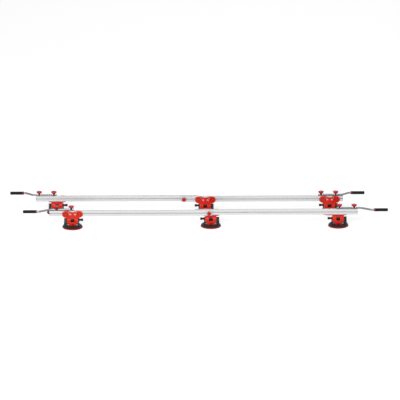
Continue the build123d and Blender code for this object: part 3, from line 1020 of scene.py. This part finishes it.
@dataclass
class ClampKnob:
    """A scalloped cap on a flared hub, a washer and a T-bolt. Millimetres, seated at height 0."""

    name: str
    cap_radius: float
    hub_height: float
    reach: float
    cap_finish: Finish
    hub_finish: Finish
    hub_radius: float = 9.5
    hub_flare: float = 0.52
    bead: float = 0.6
    bead_ends: Station = (0.14, 0.20)
    cap_base: float = 0.62
    cap_height: float = 19.0
    cap_rounding: float = 0.9
    cap_sides: int = 72
    rim: float = 6.0
    rim_step: float = 0.2
    rim_lead: float = 1.0
    dome: float = 3.5
    dome_shoulder: Station = (0.3, 0.4)
    button: float = 0.46
    button_drop: float = 0.1
    scallops: int = 6
    scallop_radius: float = 9.0
    scallop_depth: float = 3.5
    washer_radius: float = 9.4
    washer_edge: float = 0.3
    washer: float = 1.2
    stud_radius: float = 3.8
    stud_entry: float = 0.4
    stud_sides: int = 32
    head_radius: float = 6.8
    head_edge: float = 0.5
    head: float = 3.0
    # Shares of the rise and of the spread, up the cap's underside and up the hub.
    cap_flare: Stations = ((0.0, 0.0), (0.25, 0.19), (0.5, 0.44), (0.75, 0.73), (1.0, 1.0))
    hub_curve: Stations = ((0.45, 0.18), (0.65, 0.42), (0.82, 0.70), (0.94, 0.94), (1.0, 1.0))
    # Depth under the top and distance from the button's edge, across the groove round it.
    button_groove: Stations = ((0.0, 0.9), (1.0, 0.5), (1.0, 0.0), (0.1, -0.5))

    @property
    def height(self) -> float:
        """From the seat to the top of the cap."""
        return self.hub_height + self.cap_height

    def cap(self) -> bpy.types.Object:
        """The cap: a dished underside, a scalloped rim and a set-in button on top.

        Returns:
            The cap about Z.
        """
        top = self.height
        rim_base = top - self.dome - self.rim
        rise = rim_base - self.hub_height
        inner = self.cap_base * self.cap_radius
        spread = self.cap_radius - inner - self.rim_step
        drop, back = self.dome_shoulder
        button = self.button * self.cap_radius
        stations = [
            *((self.hub_height + rise * up, inner + spread * out) for up, out in self.cap_flare),
            (rim_base + self.rim_lead, self.cap_radius),
            (top - self.dome, self.cap_radius),
            (top - drop * self.dome, self.cap_radius - back * self.dome),
            (top, self.cap_radius - self.dome),
            *((top - depth, button + out) for depth, out in self.button_groove),
            (top - self.button_drop, button / 2),
        ]
        cap = turned(f"{self.name}_cap", stations, self.cap_sides)
        cutters = []
        middle = (self.cap_radius + self.scallop_radius - self.scallop_depth) * MM
        radius, depth = self.scallop_radius * MM, 2 * top * MM
        for step in range(self.scallops):
            angle = math.tau * step / self.scallops
            place = (middle * math.cos(angle), middle * math.sin(angle), top * MM)
            cutters.append(cylinder("scallop", ROUND_SIDES, radius, depth, place))
        cut(cap, joined("scallops", cutters))
        round_edges(cap, self.cap_rounding, segments=3, angle=40)
        smooth(cap, 40)
        return cap

    def hub(self) -> bpy.types.Object:
        """The flared hub between washer and cap, with a ring bead at its foot.

        Returns:
            The hub about Z.
        """
        foot, top = self.hub_radius, self.hub_flare * self.cap_radius
        base, rise = self.washer, self.hub_height - self.washer
        low, high = self.bead_ends
        stations = [
            (base, foot - self.bead),
            (base + self.bead, foot),
            (base + low * rise, foot),
            (base + high * rise, foot - self.bead),
            *((base + rise * up, foot + (top - foot) * out) for up, out in self.hub_curve),
        ]
        hub = turned(f"{self.name}_hub", stations)
        smooth(hub)
        return hub

    def bolt(self) -> bpy.types.Object:
        """The T-bolt with its round head, and the washer under the hub.

        Returns:
            Bolt and washer in one mesh.
        """
        foot = -self.reach - self.head
        stud = [
            (foot, self.head_radius - self.head_edge),
            (foot + self.head_edge, self.head_radius),
            (-self.reach, self.head_radius),
            (-self.reach, self.stud_radius),
            (self.washer + self.stud_entry, self.stud_radius),
        ]
        edge = self.washer_edge
        washer = [
            (0.0, self.washer_radius - edge),
            (edge, self.washer_radius),
            (self.washer - edge, self.washer_radius),
            (self.washer, self.washer_radius - edge),
        ]
        pieces = [turned("stud", stud, self.stud_sides), turned("washer", washer)]
        bolt = joined(f"{self.name}_bolt", pieces)
        smooth(bolt)
        return bolt

    def fit(self, dresser: Dresser, places: dict[str, tuple[str, Matrix]]) -> None:
        """Model the knob once and fit it everywhere.

        Args:
            dresser: Gives the finishes.
            places: Body and place by the CAD node that the knob stands for.
        """
        cap, hub, bolt = self.cap(), self.hub(), self.bolt()
        for node, (body, place) in places.items():
            dresser.piece(copied(cap, f"{node}_cap", place), self.cap_finish, body, node)
            dresser.piece(copied(hub, f"{node}_hub", place), self.hub_finish, body)
            dresser.piece(copied(bolt, f"{node}_bolt", place), BRIGHT_SCREW, body)
        discard(cap, hub, bolt)


@dataclass
class Bars:
    """The profiles, the stops in their side slots and the knobs at their laps. Millimetres."""

    dresser: Dresser
    lap_radius: float = 21.0
    lap_hub: float = 12.0
    lap_reach: float = 25.0
    slot_mouth: float = 8.4
    slot_lip: float = 2.5
    slot_head: float = 14.6
    slot_floor: float = 6.7
    stop_length: float = 6.0
    stop_inset: float = 0.4
    stop_room: float = 0.25
    stop_rounding: float = 0.5

    def build(self) -> None:
        """Dress the profiles, and fit the stops and the lap knobs."""
        stop = self.end_stop()
        knob = ClampKnob(
            "lap_knob", self.lap_radius, self.lap_hub, self.lap_reach, LAP_CAP, LAP_CAP
        )
        places: dict[str, tuple[str, Matrix]] = {}
        for row, end, label in bar_ends():
            self.dresser.node(f"rail_{label}", SATIN_ALUMINIUM)
            for face in Row:
                place = self.stop_place(f"rail_{label}", end.sign, face.side)
                piece = copied(stop, f"end_stop_{label}_{face.label}", place)
                self.dresser.piece(piece, PLUNGER_BLACK, f"{label}_bar")
            node = f"lap_knob_{label}"
            outer = -row.side * end.sign
            places[node] = (f"{label}_lap_knob", self.lap_place(node, outer, knob.height))
        knob.fit(self.dresser, places)
        discard(stop)

    def end_stop(self) -> bpy.types.Object:
        """A moulded stop for a slot's end: a web in the mouth, and a head behind the lips.

        Returns:
            The stop, from X 0 to -X, with the profile's face at Y 0 and the slot's floor at +Y.
        """
        length = self.stop_length * MM
        web_half = (self.slot_mouth / 2 - self.stop_room) * MM
        head_half = (self.slot_head / 2 - self.stop_room) * MM
        lip = (self.slot_lip + self.stop_room) * MM
        floor = (self.slot_floor - self.stop_room) * MM
        stop = block("end_stop", (length, lip, 2 * web_half), (-length / 2, lip / 2, 0))
        with editing(stop):
            pick_faces(stop, lambda centre, normal: normal.y > FACING)
            extrude((0, 0, 0))
            widening = (1, 1, head_half / web_half)
            bpy.ops.transform.resize(value=widening, center_override=(0, lip, 0))
            extrude((0, floor - lip, 0))
        recalculate(stop)
        round_edges(stop, self.stop_rounding)
        smooth(stop)
        return stop

    def stop_place(self, node: str, end: int, facing: int) -> Matrix:
        """Place of a stop in one of a profile's side slots, at the profile's outer end.

        Args:
            node: The profile's CAD node.
            end: Direction of the outer end along X.
            facing: Direction of the slot's mouth along Y.

        Returns:
            The stop's place.
        """
        low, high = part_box(node)
        outer = (high.x if end > 0 else low.x) - end * self.stop_inset * MM
        face = high.y if facing > 0 else low.y
        start = Matrix.Translation((outer, face, (low.z + high.z) / 2))
        return start @ Matrix.Diagonal((end, -facing, 1, 1))

    @staticmethod
    def lap_place(node: str, outer: int, height: float) -> Matrix:
        """Seat of a lap knob, with the knob's axis out of the profile's face.

        Args:
            node: The knob's CAD node.
            outer: Direction of the face along Y.
            height: The knob's height over its seat, in millimetres.

        Returns:
            The knob's place.
        """
        low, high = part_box(node)
        middle = (low + high) / 2
        face = (high.y if outer > 0 else low.y) - outer * height * MM
        seat = Vector((middle.x, face, middle.z))
        return Matrix.Translation(seat) @ Matrix.Rotation(-outer * math.pi / 2, 4, "X")


@dataclass
class Handles:
    """Cranked bars, sleeve grips with their collars, and the knobs that clamp them. Millimetres."""

    dresser: Dresser
    cap_radius: float = 28.0
    knob_hub: float = 20.0
    reach: float = 9.6
    grip_radius: float = 15.6
    grip_length: float = 136.0
    bar_radius: float = 10.0
    collar_radius: float = 16.0
    collar_length: float = 14.0
    collar_lap: float = 0.8
    groove_pitch: float = 5.0
    groove_depth: float = 0.35
    grooves: int = 20
    first_groove: float = 27.0
    # Way along from the collar's outer end, and way in from the sleeve's radius.
    sleeve_start: Stations = ((-2.0, 0.6), (1.0, 0.0))
    # Way along from a groove's middle, and share of its depth.
    groove_form: Stations = ((-1.5, 0.0), (-0.7, 1.0), (0.7, 1.0), (1.5, 0.0))
    # Way back from the sleeve's end, and way in from its radius.
    sleeve_end: Stations = ((8.0, 0.0), (5.0, 0.8), (2.6, 2.5), (0.9, 5.2), (0.2, 7.8), (0.0, 9.4))
    # Way from the collar's outer or inner end, and way in from its radius or out from the bar's.
    collar_outer: Stations = ((0.4, 0.4), (1.0, 0.0))
    collar_inner: Stations = ((1.2, 0.0), (0.3, 0.5), (0.0, 1.2))
    collar_bore: Stations = ((0.0, 0.5), (6.0, 0.2))

    def build(self) -> None:
        """Dress the bars, and fit grips and knobs."""
        sleeve, collar = self.sleeve(), self.collar()
        clamp = ClampKnob(
            "handle_knob", self.cap_radius, self.knob_hub, self.reach, RED_CAP, BLACK_HUB
        )
        places: dict[str, tuple[str, Matrix]] = {}
        for _, end, label in bar_ends():
            body = f"{label}_handle"
            self.dresser.node(f"handle_bar_{label}", ZINC_PLATE)
            node = f"grip_{label}"
            place = self.grip_place(node, end.sign)
            self.dresser.piece(copied(sleeve, f"{node}_sleeve", place), SLEEVE_RUBBER, body, node)
            self.dresser.piece(copied(collar, f"{node}_collar", place), RED_COLLAR, body)
            for spot in ("outer", "inner"):
                knob = f"handle_knob_{label}_{spot}"
                places[knob] = (f"{label}_handle_knob_{spot}", self.knob_place(knob, clamp.height))
        discard(sleeve, collar)
        clamp.fit(self.dresser, places)

    def sleeve(self) -> bpy.types.Object:
        """The rubber sleeve with ring grooves and a rounded end.

        Returns:
            The sleeve, with its inner end at height 0.
        """
        radius, start, end = self.grip_radius, self.collar_length, self.grip_length
        stations = [(start + along, radius - inwards) for along, inwards in self.sleeve_start]
        for step in range(self.grooves):
            middle = self.first_groove + step * self.groove_pitch
            for along, share in self.groove_form:
                stations.append((middle + along, radius - share * self.groove_depth))
        stations += [(end - back, radius - inwards) for back, inwards in self.sleeve_end]
        sleeve = turned("sleeve", stations)
        smooth(sleeve, 50)
        return sleeve

    def collar(self) -> bpy.types.Object:
        """The red collar at the sleeve's inner end, bored for the bar.

        Returns:
            The collar, with its inner end at height 0.
        """
        radius, end = self.collar_radius, self.collar_length
        stations = [
            (end, self.grip_radius - self.collar_lap),
            *((end - back, radius - inwards) for back, inwards in self.collar_outer),
            *((along, radius - inwards) for along, inwards in self.collar_inner),
            *((along, self.bar_radius + room) for along, room in self.collar_bore),
        ]
        collar = turned("collar", stations)
        smooth(collar, 40)
        return collar

    def grip_place(self, node: str, end: int) -> Matrix:
        """Place of a grip: its axis runs out along X from the grip's inner end.

        Args:
            node: The grip's CAD node.
            end: Direction of the handle along X.

        Returns:
            The grip's place.
        """
        low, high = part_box(node)
        middle = (low + high) / 2
        inner = low.x if end > 0 else high.x
        start = Vector((inner, middle.y, middle.z))
        return Matrix.Translation(start) @ Matrix.Rotation(end * math.pi / 2, 4, "Y")

    @staticmethod
    def knob_place(node: str, height: float) -> Matrix:
        """Seat of a handle knob, with the knob's axis upright.

        Args:
            node: The knob's CAD node.
            height: The knob's height over its seat, in millimetres.

        Returns:
            The knob's place.
        """
        low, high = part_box(node)
        middle = (low + high) / 2
        return Matrix.Translation((middle.x, middle.y, high.z - height * MM))


@dataclass
class Carriages:
    """The red castings and the screws in their lobes. Millimetres."""

    dresser: Dresser
    lobe_spread: float = 68.0
    lobe_height: float = 138.5
    pocket_floor: float = 15.8
    screw_radius: float = 5.8
    screw_head: float = 2.2
    screw_edge: float = 0.6
    screw_sides: int = 40
    socket_across: float = 5.0
    socket_depth: float = 1.5

    def build(self) -> None:
        """Dress the castings and fit their screws."""
        screw = self.lobe_screw()
        for row, cup, label in cup_places():
            self.dresser.node(f"carriage_{label}", RED_COAT)
            self.dresser.node(f"pinch_bolt_{label}", BLACKENED_BOLT)
            outer = -row.side * cup.half
            for side in End:
                name = f"lobe_screw_{label}_{side.label}"
                piece = copied(screw, name, self.screw_place(label, side.sign, outer))
                self.dresser.piece(piece, RED_COAT, f"{label}_carriage")
        discard(screw)

    def lobe_screw(self) -> bpy.types.Object:
        """A low-headed screw with a hexagon socket.

        Returns:
            The screw's head about Z, on height 0.
        """
        stations = [
            (0.0, self.screw_radius),
            (self.screw_head - self.screw_edge, self.screw_radius),
            (self.screw_head, self.screw_radius - self.screw_edge),
        ]
        screw = turned("lobe_screw", stations, self.screw_sides)
        corner, depth = self.socket_across / math.sqrt(3) * MM, 2 * self.socket_depth * MM
        place = (0, 0, self.screw_head * MM)
        cut(screw, cylinder("socket", HEXAGON_SIDES, corner, depth, place))
        smooth(screw)
        return screw

    def screw_place(self, label: str, sign: int, outer: int) -> Matrix:
        """Place of a lobe's screw, out of the wing plate's face.

        Args:
            label: The carriage's label.
            sign: Side of the lobe along X.
            outer: Direction of the wing plate along Y.

        Returns:
            The screw's place.
        """
        middle = middle_of(f"suction_pad_{label}")
        across = middle.x + sign * self.lobe_spread * MM
        face = middle.y + outer * self.pocket_floor * MM
        seat = Vector((across, face, self.lobe_height * MM))
        return Matrix.Translation(seat) @ Matrix.Rotation(-outer * math.pi / 2, 4, "X")


@dataclass
class Cups:
    """Cup frames, pads, pumps and levers, with their bolts, ribs, beads and glands. Millimetres."""

    dresser: Dresser
    hub_top: float = 19.0
    bolt_spread: float = 43.0
    bolt_flats: float = 17.0
    bolt_head: float = 6.4
    bolt_inset: float = 0.9
    bolt_crown: float = 0.5
    bolt_rounding: float = 0.5
    washer_radius: float = 10.4
    washer_edge: float = 0.3
    washer: float = 1.6
    rim_radius: float = 97.0
    rim_top: float = 15.0
    crown_radius: float = 82.0
    crown_top: float = 25.0
    rib_share: float = 0.74
    rib_width: float = 2.8
    rib_height: float = 1.5
    rib_taper: tuple[float, float, float] = (0.9, 0.55, 1.0)
    rib_rounding: float = 0.5
    ribs: int = 24
    bead_half: float = 1.6
    bead_flatness: float = 0.8
    bead_around: int = 96
    bead_across: int = 12
    cup_axis: float = 77.0
    pump_face: float = 66.5
    gland_radius: float = 15.5
    gland: float = 1.6
    gland_edge: Station = (0.6, 0.7)
    rod_radius: float = 10.0
    rod_room: float = 0.3
    # Depth under the gland's face and distance from the rod, at the dish round the rod.
    gland_dish: Stations = ((0.0, 1.2), (0.8, 0.7))

    def build(self) -> None:
        """Dress the cups and fit their small pieces."""
        bolt, trim, gland = self.hub_bolt(), self.disc_trim(), self.pump_gland()
        for _, cup, label in cup_places():
            body = f"{label}_carriage"
            self.dresser.node(f"cup_frame_{label}", FILLED_MOULDING)
            self.dresser.node(f"suction_pad_{label}", PAD_RUBBER)
            self.dresser.node(f"pump_plunger_{label}", PLUNGER_BLACK)
            self.dresser.node(f"release_lever_{label}", FILLED_MOULDING)
            middle = middle_of(f"suction_pad_{label}")
            centre = Matrix.Translation((middle.x, middle.y, 0))
            for side in End:
                spread = side.sign * self.bolt_spread * MM
                spot = Matrix.Translation((spread, 0, self.hub_top * MM))
                piece = copied(bolt, f"hub_bolt_{label}_{side.label}", centre @ spot)
                self.dresser.piece(piece, BRIGHT_SCREW, body)
            piece = copied(trim, f"disc_trim_{label}", centre)
            self.dresser.piece(piece, FILLED_MOULDING, body)
            pump = -cup.half
            spot = Matrix.Translation((pump * self.pump_face * MM, 0, self.cup_axis * MM))
            turn = Matrix.Rotation(pump * math.pi / 2, 4, "Y")
            piece = copied(gland, f"pump_gland_{label}", centre @ spot @ turn)
            self.dresser.piece(piece, PLUNGER_BLACK, body)
        discard(bolt, trim, gland)

    def hub_bolt(self) -> bpy.types.Object:
        """A hexagon bolt head on a washer.

        Returns:
            Head and washer in one mesh, on height 0.
        """
        stations = [
            (0.0, self.washer_radius),
            (self.washer - self.washer_edge, self.washer_radius),
            (self.washer, self.washer_radius - self.washer_edge),
        ]
        washer = turned("washer", stations)
        corner, depth = self.bolt_flats / math.sqrt(3) * MM, self.bolt_head * MM
        middle = (self.washer + self.bolt_head / 2) * MM
        head = cylinder("head", HEXAGON_SIDES, corner, depth, (0, 0, middle))
        top = (self.washer + self.bolt_head) * MM
        with editing(head):
            pick_faces(head, lambda centre, normal: centre.z > top - LEVEL_REACH)
            bpy.ops.mesh.inset(thickness=self.bolt_inset * MM)
            extrude((0, 0, self.bolt_crown * MM))
        round_edges(head, self.bolt_rounding, angle=25)
        bolt = joined("hub_bolt", [washer, head])
        smooth(bolt)
        return bolt

    def disc_trim(self) -> bpy.types.Object:
        """Ribs down the disc's slope, and a bead round the edge of its crown.

        Returns:
            Ribs and bead in one mesh, about the cup's axis.
        """
        run, fall = self.rim_radius - self.crown_radius, self.crown_top - self.rim_top
        length = self.rib_share * math.hypot(run, fall)
        slope_radius = (self.rim_radius + self.crown_radius) / 2
        middle = Vector((slope_radius, 0, (self.rim_top + self.crown_top) / 2))
        rib = block("rib", (length * MM, self.rib_width * MM, 2 * self.rib_height * MM))
        with editing(rib):
            pick_faces(rib, lambda centre, normal: normal.z > FACING)
            bpy.ops.transform.resize(value=self.rib_taper, center_override=(0, 0, 0))
        round_edges(rib, self.rib_rounding)
        lean = Matrix.Translation(middle * MM) @ Matrix.Rotation(math.atan2(fall, run), 4, "Y")
        pieces = [
            copied(rib, f"rib_{step}", Matrix.Rotation(math.tau * step / self.ribs, 4, "Z") @ lean)
            for step in range(self.ribs)
        ]
        discard(rib)
        crown = (0, 0, self.crown_top * MM)
        deselect_all()
        bpy.ops.mesh.primitive_torus_add(
            major_segments=self.bead_around,
            minor_segments=self.bead_across,
            major_radius=self.crown_radius * MM,
            minor_radius=self.bead_half * MM,
            location=crown,
        )
        bead = settle("bead")
        with editing(bead):
            bpy.ops.mesh.select_all(action="SELECT")
            bpy.ops.transform.resize(value=(1, 1, self.bead_flatness), center_override=crown)
        trim = joined("disc_trim", [bead, *pieces])
        smooth(trim, 40)
        return trim

    def pump_gland(self) -> bpy.types.Object:
        """The ring round the pump's rod on the leg's face.

        Returns:
            The gland, with its seat on height 0.
        """
        drop, back = self.gland_edge
        stations = [
            (0.0, self.gland_radius),
            (self.gland - drop, self.gland_radius),
            (self.gland, self.gland_radius - back),
            *((self.gland - depth, self.rod_radius + room) for depth, room in self.gland_dish),
        ]
        gland = turned("pump_gland", stations)
        bore = (self.rod_radius + self.rod_room) * MM
        cut(gland, cylinder("rod_bore", ROUND_SIDES, bore, 4 * self.gland * MM))
        smooth(gland)
        return gland


def main() -> None:
    """Build the studio, dress the frame and report each piece."""
    logging.basicConfig(level=logging.INFO, format="%(message)s")
    dresser = Dresser(Effects())
    Studio().build()
    for assembly in (Bars(dresser), Handles(dresser), Carriages(dresser), Cups(dresser)):
        assembly.build()
    deselect_all()


if __name__ == "__main__":
    main()
